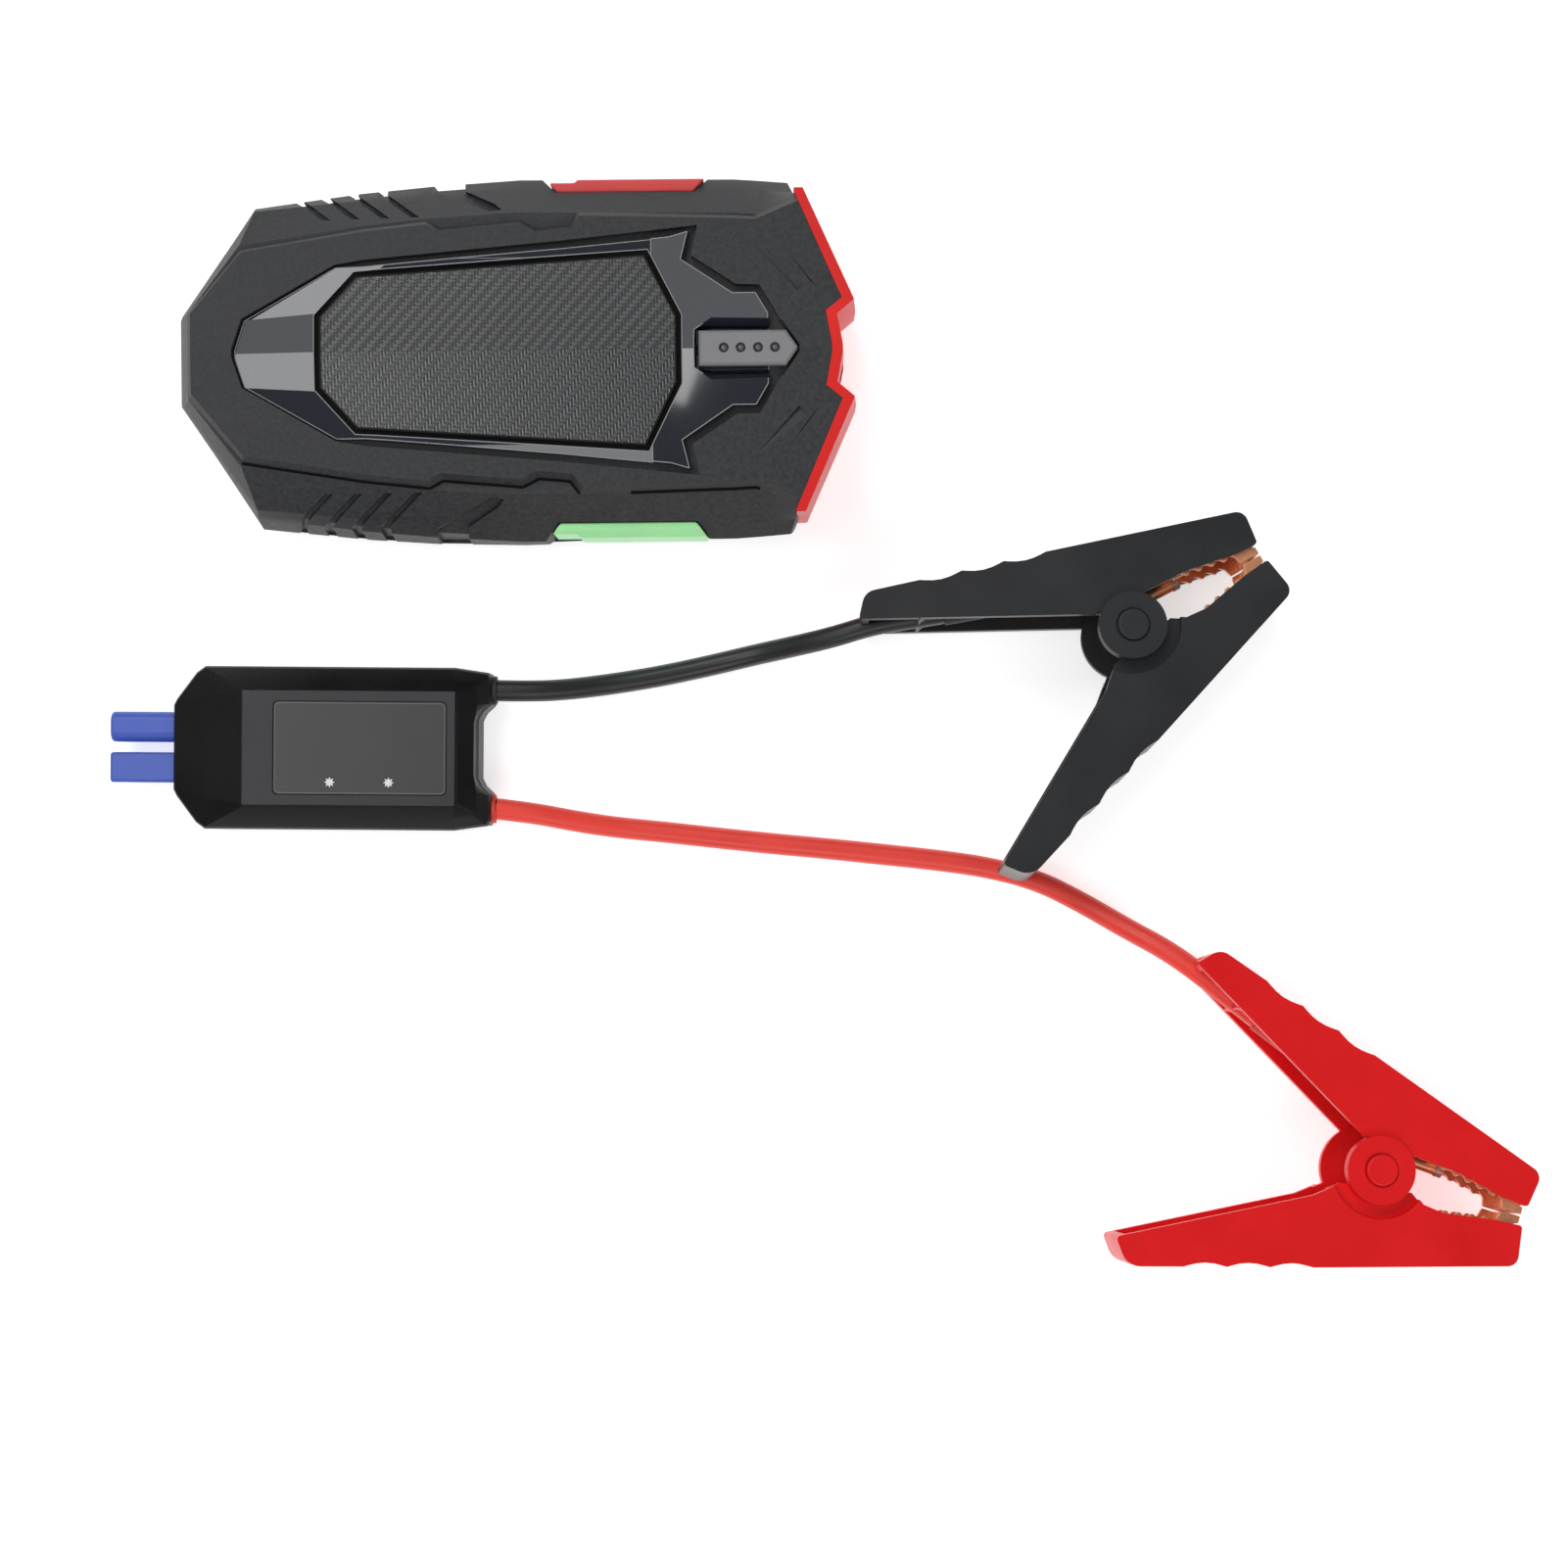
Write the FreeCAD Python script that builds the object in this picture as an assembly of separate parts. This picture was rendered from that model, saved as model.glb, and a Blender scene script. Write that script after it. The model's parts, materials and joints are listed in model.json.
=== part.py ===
import FreeCAD, Part
import math
import os

# Jump starter pack with its boxed clamp lead, in millimetres.
# Frame: +Z up, origin at the centre of the pack's foot plane, +X towards the torch end.

V = FreeCAD.Vector
BIG = 400.0

# ---------------------------------------------------------------- driving dimensions
FOOT = 1.0                  # rubber feet lift the shell this much
SPLIT_Z = 13.0              # parting plane of the two shells
BAND_Z = (9.5, 19.0)        # widest part of the side band
RIM_Z = 23.5                # top of the side band
LEDGE_Z = 31.0              # top of the sloped shoulder
RIDGE_Z = 36.2              # height of the roof ridge on the centre line
ROOF_FALL = 0.075           # how far the roof drops per millimetre away from the ridge
WALL = 2.2                  # shell wall
GAP = 0.3                   # running gap between bodies

COVER_X = (7.6, 46.8)       # side covers along X
COVER_Z = (6.6, 23.6)
COVER_FACE = 44.3           # outer face of a cover
RECESS_FACE = 40.6          # floor of the recess behind a cover

SOCKET_X = 27.0             # jump output socket, two prong holes
SOCKET_Z = 13.5
PRONG_PITCH = 10.2
PRONG = 7.6                 # prong of the lead's plug, width and height
PRONG_HOLE = 8.3
PIN_OUT = 2.5               # power pins in the socket, and the bore of the plug's contacts

LED_X = [51.5, 55.6, 59.8, 63.9]
USB_A_X = [19.4, 34.6]
SCREW_SPOTS = [(-57.0, 29.0), (-57.0, -29.0), (54.0, 31.0), (54.0, -31.0)]

CABLE_D = 5.4
GLAND_Y = 14.9              # the two cable exits of the box, either side of its centre line
CABLE_Z = 9.2

BOX_CENTRE = (-47.5, -95.6)
BOX_TURN = -1.0             # how the lead box lies, in degrees
BOX_TOP = 20.5
BOX_SPLIT = 9.0
PLUG_Z = 8.6
BOX_SCREWS = [(-72, 15.5), (-72, -15.5)]
INDICATOR_X = (-47.4, -32.8)

CLAMP_WALL = 11.0           # half width of a clamp's channel
CLAMP_SHEET = 2.2
PIN_R = 2.4
DISC_R = 8.4                # raised disc round the pin on the fixed half
COLLAR_R = 12.0             # clearance round it in the moving half
EAR_R = 7.6                 # inner ears of the moving half, and the wide one on its underside
WIDE_EAR_R = 10.8
PIN_HEAD_R = 3.9
TOOTH_PITCH = 3.3
JUMPER_R = 1.6              # copper link from the crimp to the fixed jaw
FIXED_SWELL, MOVING_SWELL = 0.5, 1.5    # how far each half's grip edge stands out from the common outline

# half outlines of the pack, from the rear centre line round to the torch end, Y positive
BAND_LOW = [(-84.6, 10.4), (-65.2, 40.3), (-38.4, 43.2), (-21, 44.4), (1, 44.9), (54, 43.6), (60, 43.0),
            (67.4, 42.4), (90, 39.6)]
BAND_HIGH = [(-83.6, 10.6), (-64.8, 38.4), (-38.4, 41.9), (-21, 43.5), (1, 44.9), (54, 44.6), (60, 44.2),
             (67.4, 43.6), (90, 40.8)]
RIM = [(-82.2, 11.0), (-64.2, 36.8), (-38.4, 39.2), (-21, 40.4), (1, 41.4), (54, 41.2), (60, 41.0),
       (67.4, 40.4), (90, 37.4)]
SHOULDER = [(-79.2, 10.6), (-66.6, 27.0), (-36.6, 31.4), (-21, 33.1), (1, 34.4), (54, 33.8), (60, 33.5),
            (71.5, 38.0), (90, 37.8)]
PLATEAU = [(-78, 9.8), (-65.6, 24.8), (-36.3, 29.5), (-20.9, 31.2), (-17.6, 29.4), (1.8, 31.1), (5.8, 29.1),
           (14.4, 29.9), (16.8, 33.0), (54.2, 32.0), (59.3, 31.7), (71, 36.6), (90, 36.6)]
END_FACE = [(72.0, 38.6), (84.0, 11.6), (79.7, 8.0), (81.0, 1.4)]
END_SEAM = [(70.0, 37.4), (81.0, 12.0), (77.0, 8.8), (78.4, 1.2)]
CAVITY_END = [(66.0, 37.0), (74.6, 12.0), (74.6, 1.0)]
FRAME_RECESS = [(-67.8, 1.0), (-65.4, 8.4), (-42.9, 21.4), (-35.8, 22.6), (6.5, 26.4), (11.5, 26.8),
                (41, 29.9), (45.3, 30.4), (43.7, 22.9), (54.5, 15.8), (60.2, 15.6), (65.4, 6.8), (66.4, 4.9)]
CARBON = [(-46.5, 8.6), (-37.6, 18.5), (32.4, 23.2), (40.1, 8.0)]
FRAME = [(-67.4, 0.9), (-65.1, 8.1), (-42.8, 20.9), (-36.0, 21.0), (6.5, 24.6), (11.5, 25.0), (38.5, 27.6),
         (43.1, 29.0), (41.4, 22.0), (53.7, 13.8), (59.4, 13.8), (62.5, 8.6), (62.5, 5.0)]
TROUGH_TOP = [(44.2, 4.6), (48.6, 8.2), (65.2, 7.8), (69.9, 0.9)]
TROUGH_FLOOR = [(45.0, 4.6), (48.8, 5.1), (66.5, 4.9), (69.8, 0.7)]
BUTTON = [(45.5, 4.2), (66.6, 4.2), (69.3, 0.3)]
CLAWS = [((57.8, 27.0), (69.6, 14.0), (71.7, 16.4)), ((65.8, 25.6), (72.4, 16.6), (74.6, 14.2))]

RED_SIDE, GREEN_SIDE = 1, -1


# ---------------------------------------------------------------- small helpers
def closed(half):
    """Whole outline from its half with Y positive."""
    return half + [(x, -y) for x, y in reversed(half)]


def inset(outline, distance):
    """The outline moved inwards by a distance, corner for corner (negative grows it)."""
    area = sum(a[0] * b[1] - b[0] * a[1] for a, b in zip(outline, outline[1:] + outline[:1]))
    side = 1 if area > 0 else -1
    moved = []
    for before, point, after in zip(outline[-1:] + outline[:-1], outline, outline[1:] + outline[:1]):
        first = V(point[0] - before[0], point[1] - before[1], 0).normalize()
        second = V(after[0] - point[0], after[1] - point[1], 0).normalize()
        bisector = V(-first.y - second.y, first.x + second.x, 0) * (side * 0.5)
        reach = distance / max(bisector.Length ** 2, 0.05)
        moved.append((point[0] + bisector.x * reach, point[1] + bisector.y * reach))
    return moved


def wire(outline, z):
    points = [V(x, y, z) for x, y in outline]
    return Part.makePolygon(points + points[:1])


def prism(outline, low, high):
    return Part.Face(wire(outline, low)).extrude(V(0, 0, high - low))


def stack(levels):
    """Straight-sided solid through outlines at rising heights: (z, outline) pairs."""
    return Part.makeLoft([wire(outline, z) for z, outline in levels], True, True)


def block(x, y, z):
    return Part.makeBox(x[1] - x[0], y[1] - y[0], z[1] - z[0], V(x[0], y[0], z[0]))


def rod(radius, start, end):
    axis = V(*end) - V(*start)
    return Part.makeCylinder(radius, axis.Length, V(*start), axis)


def below(point, normal):
    """Everything on the far side of a plane from its normal."""
    slab = Part.makeBox(2 * BIG, 2 * BIG, BIG, V(-BIG, -BIG, -BIG))
    turn = FreeCAD.Rotation(V(0, 0, 1), V(*normal))
    slab.Placement = FreeCAD.Placement(V(*point), turn)
    return slab


def between(low, high):
    return block((-BIG, BIG), (-BIG, BIG), (low, high))


def fuse(solids):
    return solids[0].multiFuse(solids[1:]).removeSplitter() if len(solids) > 1 else solids[0]


def rounded(shape, radius, test):
    """Fillets the edges that pass the test."""
    edges = [edge for edge in shape.Edges if test(edge)]
    return shape.makeFillet(radius, edges)


def write(name, pieces):
    pieces = pieces if isinstance(pieces, list) else [pieces]
    solids = [solid for piece in pieces for solid in piece.Solids]
    shape = solids[0] if len(solids) == 1 else Part.makeCompound(solids)
    if not solids or not all(solid.isValid() for solid in solids):
        print("NOT VALID:", name, len(solids))
    shape.exportStep("parts/%s.step" % name)


def roof(lift):
    """The space under the shallow two-sided roof, raised by a lift."""
    left = below((0, 0, RIDGE_Z + lift), (0, ROOF_FALL, 1))
    right = below((0, 0, RIDGE_Z + lift), (0, -ROOF_FALL, 1))
    return left.common(right)


# ---------------------------------------------------------------- pack shells
def pack_form(thin):
    """Outer form of the pack, or its cavity when thinned by a wall; it runs on past the torch end."""
    low, high, rim, shoulder = closed(BAND_LOW), closed(BAND_HIGH), closed(RIM), closed(SHOULDER)
    return stack([(FOOT + thin, inset(low, 4.6 + thin)), (4.2 + 0.7 * thin, inset(low, 1.5 + thin)),
                  (BAND_Z[0], inset(low, thin)), (BAND_Z[1], inset(high, thin)), (RIM_Z, inset(rim, thin)),
                  (LEDGE_Z - thin, inset(shoulder, thin))])


def end_cut(line):
    """The space behind the torch end: far beyond the pack except along the given line."""
    run_out = (line[0][0] - 0.42 * (70 - line[0][1]), 70)
    outline = closed([(-120, 70), run_out] + line)
    return stack([(-1, inset(outline, 1.4)), (5.0, outline), (18.0, outline), (45, inset(outline, 1.0))])


def plateau_form():
    step = stack([(LEDGE_Z - 3, inset(closed(PLATEAU), -1.4)), (LEDGE_Z, inset(closed(PLATEAU), -1.4)),
                  (LEDGE_Z + 2.5, inset(closed(PLATEAU), 0)), (LEDGE_Z + 8, inset(closed(PLATEAU), 0.6))])
    return step.common(roof(0))


def grip_slots():
    """Diagonal slots over the shoulder and band, four narrow and one wide per side."""
    core = pack_form(1.2)
    cutters = []
    for side in (1, -1):
        for k in range(4):
            rim_x, top_x = -55.2 + 7.4 * k, -45.3 + 7.4 * k
            narrow = [(rim_x - 1.6, 47), (rim_x - 1.0, 41), (top_x - 1.5, 33.6), (top_x + 0.5, 33.6),
                      (rim_x + 1.4, 41), (rim_x + 0.8, 47)]
            cutters.append(slot_cutter(narrow, side, core))
        wide = [(-21, 47), (-19.8, 41.5), (-5.6, 34.9), (-2.6, 35.4), (-4.4, 37.2), (-12.2, 41.5), (-13, 47)]
        cutters.append(slot_cutter(wide, side, core))
    return cutters


def slot_cutter(outline, side, core):
    """A slot of even depth that follows the shoulder and wraps over the band."""
    return prism([(x, y * side) for x, y in outline], 8.5, 36).cut(core)


def roof_point(x, y, lift=0.0):
    return V(x, y, RIDGE_Z - ROOF_FALL * abs(y) + lift)


def claw_cuts():
    """Engraved claw marks beside the torch end: each fades out along one edge and towards its tail."""
    cuts = []
    for side in (1, -1):
        for tail, deep, faded in CLAWS:
            a = roof_point(tail[0], tail[1] * side, 0.05)
            b = roof_point(deep[0], deep[1] * side, -1.0)
            c = roof_point(faded[0], faded[1] * side, 0.05)
            normal = (b - a).cross(c - a)
            normal = normal * (1 if normal.z > 0 else -1)
            wedge = prism([(p.x, p.y) for p in (a, b, c)], 30, 40)
            cuts.append(wedge.cut(below(tuple(a), tuple(normal))))
    return cuts


def cover_recess(side):
    outline = [(COVER_X[0] - 2.8, 47), (COVER_X[0] + 2.6, RECESS_FACE), (COVER_X[1] - 2.4, RECESS_FACE),
               (COVER_X[1] + 2.6, 47)]
    return prism([(x, y * side) for x, y in outline], COVER_Z[0] - GAP, 26.0)


def port_window(side):
    width = 22.0 if side == RED_SIDE else 32.4
    y = sorted((side * 34.0, side * 44.0))
    return block((SOCKET_X - width / 2, SOCKET_X + width / 2), y, (SOCKET_Z - 5.8, SOCKET_Z + 5.8))


def shells():
    outer = pack_form(0.0)
    form = outer.fuse(plateau_form()).common(end_cut(END_SEAM))
    upper_room = prism(inset(closed(PLATEAU), 3.2), LEDGE_Z - 4, 31.4)
    cavity = pack_form(WALL).fuse(upper_room).common(end_cut(CAVITY_END))
    posts = [rod(4.0, (x, y, 2), (x, y, LEDGE_Z - 4)).common(outer) for x, y in SCREW_SPOTS]
    solid = form.cut(cavity).fuse(posts)
    tools = [cut(side) for side in (RED_SIDE, GREEN_SIDE) for cut in (cover_recess, port_window)]
    tools += [rod(1.55, (x, y, 0), (x, y, SPLIT_Z + 5)) for x, y in SCREW_SPOTS]
    tools += [rod(3.1, (x, y, 0), (x, y, FOOT + 2.4)) for x, y in SCREW_SPOTS]
    tools += grip_slots() + claw_cuts() + [frame_pocket(), torch_window(), button_hole()]
    solid = solid.cut(Part.makeCompound(tools))
    top = solid.common(between(SPLIT_Z, 60))
    bottom = solid.common(between(-5, SPLIT_Z))
    write("top_shell", biggest(top))
    write("bottom_shell", biggest(bottom))


def biggest(shape):
    return max(shape.Solids, key=lambda solid: solid.Volume)


def frame_pocket():
    """Recess of the gloss frame and the trough of the button, 2.6 mm under the roof."""
    recess = prism(closed(FRAME_RECESS), 30, 45).cut(roof(-2.6))
    trough = stack([(33.5, closed(TROUGH_FLOOR)), (36.6, closed(TROUGH_TOP))])
    return recess.fuse(trough)


def button_hole():
    return block((47.2, 65.6), (-3.3, 3.3), (28, 40))


def torch_window():
    return block((70, 90), (-6.6, 6.6), (10, 25))


def end_bumper():
    form = block((68.8, 100), (-39.4, 39.4), (3.0, 60)).common(roof(0.25))
    bumper = form.common(end_cut(END_FACE)).cut(end_cut(END_SEAM))
    bumper = bumper.cut(block((70, 90), (-6.3, 6.3), (10.3, 24.7)))
    write("end_bumper", biggest(bumper))


def gloss_frame():
    """Faceted frame set in the roof, with the pocket for the carbon plate."""
    outline = closed(FRAME)
    body = stack([(31.5, outline), (37.5, inset(outline, 0.4))])
    body = body.cut(roof(-2.6)).common(roof(0.3))
    for side in (1, -1):
        body = body.common(below((-46.5, 0, 36.45), (-0.10, side * ROOF_FALL, 1)))
        body = body.common(below((-66.9, side * 9.0, 33.6), (-0.11, side * 0.22, 1)))
        strip = below((0, side * 23.6, 34.4), (0.0, side * 0.42, 1))
        body = body.common(strip.fuse(block((34, BIG), (-BIG, BIG), (-BIG, BIG))))
    pocket = prism(inset(closed(CARBON), -1.3), 30, 45).cut(roof(-2.1))
    trough = stack([(33.5, closed(TROUGH_FLOOR)), (36.6, closed(TROUGH_TOP))])
    body = body.cut(Part.makeCompound([pocket, trough, button_hole()]))
    write("gloss_frame", biggest(body))


def carbon_plate():
    plate = prism(closed(CARBON), 30, 45).common(roof(0.15)).cut(roof(-2.1))
    write("carbon_plate", plate)


# ---------------------------------------------------------------- button, covers
def power_button():
    outline = closed(BUTTON)
    head = stack([(34.3, outline), (36.7, outline), (37.3, inset(outline, 0.6))])
    stem = block((47.6, 65.2), (-2.9, 2.9), (32.6, 34.4))
    plunger = rod(1.6, (56, 0, 32.0), (56, 0, 32.7))
    windows = [rod(1.2, (x, 0, 33.4), (x, 0, 38)) for x in LED_X]
    write("power_button", head.fuse([stem, plunger]).cut(Part.makeCompound(windows)).removeSplitter())
    write("led_windows", [rod(1.2, (x, 0, 33.4), (x, 0, 37.15)) for x in LED_X])


def side_cover(side):
    """Silicone cover with its pull tab and the shallow plugs behind it."""
    low, high = COVER_Z
    inner = RECESS_FACE + 0.1
    outline = [(COVER_X[0] + 0.9, COVER_FACE - 0.9), (COVER_X[0] + 2.9, inner), (COVER_X[1] - 2.7, inner),
               (COVER_X[1], COVER_FACE), (COVER_X[0] + 7.8, COVER_FACE), (COVER_X[0] + 7.0, COVER_FACE - 0.9)]
    body = prism([(x, y * side) for x, y in outline], low, high)
    bevel = below((0, side * COVER_FACE, high - 1.6), (0, side * 0.6, 0.8))
    foot = below((0, side * COVER_FACE, low + 1.4), (0, side * 0.6, -0.8))
    body = body.common(bevel).common(foot)
    if side == RED_SIDE:
        spots = [(SOCKET_X - PRONG_PITCH / 2, 6.6, 6.4), (SOCKET_X + PRONG_PITCH / 2, 6.6, 6.4)]
    else:
        spots = [(x, 11.6, 1.6) for x in USB_A_X]
    plugs = []
    for x, width, height in spots:
        y = sorted((side * (inner - 1.2), side * (inner + 0.2)))
        z = SOCKET_Z if side == RED_SIDE else SOCKET_Z - 1.35
        plugs.append(block((x - width / 2, x + width / 2), y, (z - height / 2, z + height / 2)))
    return fuse([body] + plugs)


# ---------------------------------------------------------------- pack inside
def jump_socket():
    """Two-hole power socket behind the red cover, with its pin contacts."""
    half_w, half_h = PRONG_PITCH / 2 + PRONG_HOLE / 2 + 1.5, PRONG_HOLE / 2 + 1.4
    x = (SOCKET_X - half_w, SOCKET_X + half_w)
    z = (SOCKET_Z - half_h, SOCKET_Z + half_h)
    body = block(x, (20, RECESS_FACE - 0.2), z)
    holes = [block((c - PRONG_HOLE / 2, c + PRONG_HOLE / 2), (24, 45),
                   (SOCKET_Z - PRONG_HOLE / 2, SOCKET_Z + PRONG_HOLE / 2)) for c in prong_centres()]
    bores = [rod(PIN_OUT, (c, 10, SOCKET_Z), (c, 30, SOCKET_Z)) for c in prong_centres()]
    write("jump_socket", body.cut(Part.makeCompound(holes + bores)))
    pins = [rod(PIN_OUT, (c, 17, SOCKET_Z), (c, 30, SOCKET_Z)) for c in prong_centres()]
    write("jump_contacts", pins)


def prong_centres():
    return [SOCKET_X - PRONG_PITCH / 2, SOCKET_X + PRONG_PITCH / 2]


def usb_ports():
    """Port plate, two wide and one small charging socket, and the board they sit on."""
    face = -(RECESS_FACE - 0.2)
    plate = block((SOCKET_X - 16, SOCKET_X + 16), (face, face + 2.0), (SOCKET_Z - 5.6, SOCKET_Z + 5.6))
    z = (SOCKET_Z - 3.6, SOCKET_Z + 3.6)
    wide = [block((x - 7.3, x + 7.3), (face - 1, face + 18), z) for x in USB_A_X]
    plate = plate.cut(Part.makeCompound(wide))
    write("port_plate", plate)
    shells_a, tongues = [], []
    for x in USB_A_X:
        can = block((x - 7.2, x + 7.2), (face + 0.1, face + 15), (SOCKET_Z - 3.5, SOCKET_Z + 3.5))
        room = block((x - 6.7, x + 6.7), (face - 1, face + 14), (SOCKET_Z - 3.0, SOCKET_Z + 3.0))
        shells_a.append(can.cut(room))
        tongues.append(block((x - 5.6, x + 5.6), (face + 1.6, face + 14), (SOCKET_Z + 0.2, SOCKET_Z + 2.2)))
    write("usb_sockets", shells_a)
    write("usb_tongues", tongues)
    board = block((SOCKET_X - 16, SOCKET_X + 16), (face + 2.4, face + 21), (SOCKET_Z - 5.2, SOCKET_Z - 3.6))
    write("port_board", board)


def battery():
    """Four pouch cells in a tray, with foam above and bars to the socket contacts."""
    x, y = (-62.0, 8.6), (-22.6, 22.6)
    pitch = 5.3
    cells = [block(x, y, (4.8 + pitch * k, 4.8 + pitch * k + 5.0)) for k in range(4)]
    write("battery_cells", [rounded(cell, 1.2, vertical) for cell in cells])
    tray = block((x[0] - 1.6, x[1] + 1.6), (y[0] - 1.6, y[1] + 1.6), (3.3, 18.0))
    room = block((x[0] - 0.2, x[1] + 0.2), (y[0] - 0.2, y[1] + 0.2), (4.7, 30.0))
    slots = [block((x[0] - 5, x[1] + 5), (c - 7, c + 7), (8, 30)) for c in (-12, 12)]
    write("battery_tray", tray.cut(Part.makeCompound([room] + slots)))
    top = 4.8 + 3 * pitch + 5.0
    write("foam_pads", [block((-58, -12), (c - 5, c + 5), (top, 28.0)) for c in (-15, 15)])
    bars = []
    for k, c in enumerate(prong_centres()):
        z = (SOCKET_Z - 1.0, SOCKET_Z + 1.0)
        run = block((c - 2.4, c + 2.4), (6 - 10 * k, 17), z)
        link = block((12.4, c + 2.4), (6 - 10 * k, 9 - 10 * k), z)
        bars.append(run.fuse(link).removeSplitter())
    write("bus_bars", bars)


def vertical(edge):
    return abs(edge.tangentAt(edge.FirstParameter).z) > 0.99


def boards():
    board = prism([(-60, -21), (-40, -24), (64, -26), (70, -18), (70, 18), (64, 26), (-40, 24), (-60, 21)],
                  28.0, 29.6)
    write("main_board", board)
    stem = rod(1.6, (56, 0, 31.0), (56, 0, 31.35))
    write("tact_switch", block((53, 59), (-3, 3), (29.6, 31.0)).fuse(stem))
    write("led_chips", [block((x - 1, x + 1), (4.2, 6.0), (29.6, 30.6)) for x in LED_X])


def torch():
    """Work light in the notch of the torch end: lens, reflector cups and its small board."""
    write("torch_lens", block((77.6, 79.2), (-6.2, 6.2), (10.4, 24.6)))
    body = block((71.0, 77.5), (-6.2, 6.2), (10.4, 24.6))
    cups = [Part.makeCone(1.2, 3.0, 6.5, V(71.0, 0, z), V(1, 0, 0)) for z in (14.2, 20.8)]
    write("torch_reflector", body.cut(Part.makeCompound(cups)))
    write("torch_board", block((69.4, 70.9), (-6.2, 6.2), (10.4, 24.6)))


def screws_and_feet():
    screws = []
    for x, y in SCREW_SPOTS:
        head = rod(2.8, (x, y, FOOT + 0.2), (x, y, FOOT + 2.3))
        drive = Part.makeCylinder(1.2, 1.2, V(x, y, FOOT + 0.2), V(0, 0, 1))
        shank = rod(1.5, (x, y, FOOT + 2.2), (x, y, SPLIT_Z + 4))
        screws.append(head.fuse(shank).cut(drive).removeSplitter())
    write("case_screws", screws)
    feet = []
    for x, y in SCREW_SPOTS:
        foot = Part.makeCylinder(6.4, FOOT, V(x, y, 0))
        feet.append(rounded(foot, 0.3, lambda edge: edge.BoundBox.ZMax < 0.01))
    pad = rounded(block((-30, 30), (-14, 14), (0, FOOT)), 4.0, vertical)
    write("rubber_feet", feet + [pad])


# ---------------------------------------------------------------- lead box
# half outlines in the box's own frame: its centre line is Y = 0, X is shared with the pack
BOX_SKIRT = [(-87.7, 10.6), (-86.9, 12.2), (-82.0, 18.8), (-79.8, 20.4), (-17.3, 20.4), (-9.0, 19.2),
             (-8.2, 18.0), (-8.2, 11.2), (-10.3, 9.2), (-11.3, 7.2)]
BOX_SLOPE = [(-78.4, 12.4), (-77.9, 13.3), (-75.3, 16.6), (-74.2, 17.3), (-17.0, 17.3), (-12.4, 16.4),
             (-11.5, 15.6), (-11.3, 11.0), (-11.7, 8.4), (-12.1, 6.4)]
BOX_ROOF = [(-69.5, 13.8), (-69.4, 14.1), (-69.2, 14.3), (-68.9, 14.4), (-16.8, 14.4), (-16.2, 14.0),
            (-16.0, 13.4), (-15.9, 9.4), (-15.9, 7.4), (-15.9, 5.4)]
BOX_ROOM = [(-84.5, 9.8), (-78.6, 17.6), (-17.8, 17.6), (-13.6, 16.6), (-13.4, 8.0), (-13.4, 5.0)]
BOX_ROOM_TOP = [(-71.6, 9.8), (-70.2, 13.2), (-18.2, 13.2), (-17.6, 12.6), (-17.4, 8.0), (-17.4, 5.0)]
BOX_PANEL = [(-69.0, 14.0), (-16.6, 14.0)]
BOX_LABEL = [(-61.4, 11.5), (-18.6, 11.5)]


def lead_spot(x, y, z):
    """A point of the box's own frame, where it lies beside the pack."""
    turn = FreeCAD.Rotation(V(0, 0, 1), BOX_TURN)
    middle = V(BOX_CENTRE[0], 0, 0)
    return V(BOX_CENTRE[0], BOX_CENTRE[1], 0) + turn.multVec(V(x, y, z) - middle)


def write_lead(name, pieces):
    """Writes pieces of the box's own frame where the box lies."""
    turn = FreeCAD.Rotation(V(0, 0, 1), BOX_TURN)
    place = FreeCAD.Placement(lead_spot(0, 0, 0), turn)
    moved = []
    for piece in pieces if isinstance(pieces, list) else [pieces]:
        piece = piece.copy()
        piece.Placement = place.multiply(piece.Placement)
        moved.append(piece)
    write(name, moved)


def lead_box():
    """Two-part case of the safety module, its facets running up to a raised panel."""
    skirt = closed(BOX_SKIRT)
    outer = stack([(0, inset(skirt, 1.2)), (2.0, skirt), (13.2, skirt), (14.4, inset(skirt, 0.5)),
                   (17.4, closed(BOX_SLOPE)), (BOX_TOP - 0.5, closed(BOX_ROOF))])
    room = stack([(2.0, closed(BOX_ROOM)), (12.8, closed(BOX_ROOM)), (16.8, closed(BOX_ROOM_TOP))])
    bores = [rod(CABLE_D / 2 + 1.0, (-14, y, CABLE_Z), (0, y, CABLE_Z)) for y in (GLAND_Y, -GLAND_Y)]
    mouth = block((-92, -79.5), (-9.8, 9.8), (PLUG_Z - 4.5, PLUG_Z + 4.5))
    panel = panel_form(0.3, 17.6, 30)
    posts = [rod(3.2, (x, y, 1.0), (x, y, 14.4)) for x, y in BOX_SCREWS]
    holes = [rod(1.3, (x, y, -1), (x, y, 13.7)) for x, y in BOX_SCREWS]
    holes += [rod(2.4, (x, y, -1), (x, y, 1.9)) for x, y in BOX_SCREWS]
    shell = outer.cut(room).fuse(posts).cut(Part.makeCompound(bores + [mouth, panel] + holes))
    write_lead("box_top", biggest(shell.common(between(BOX_SPLIT, 40))))
    write_lead("box_bottom", biggest(shell.common(between(-1, BOX_SPLIT))))


def panel_form(grow, low, high):
    return prism(inset(closed(BOX_PANEL), -grow), low, high)


def label_form(grow, low, high):
    return rounded(prism(inset(closed(BOX_LABEL), -grow), low, high), 1.2, vertical)


def star(x, y, low, high):
    """Eight-pointed indicator symbol."""
    line = []
    for k in range(16):
        reach = 1.45 if k % 2 == 0 else 0.75
        line.append((x + reach * math.cos(math.pi * k / 8), y + reach * math.sin(math.pi * k / 8)))
    return prism(line, low, high)


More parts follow.
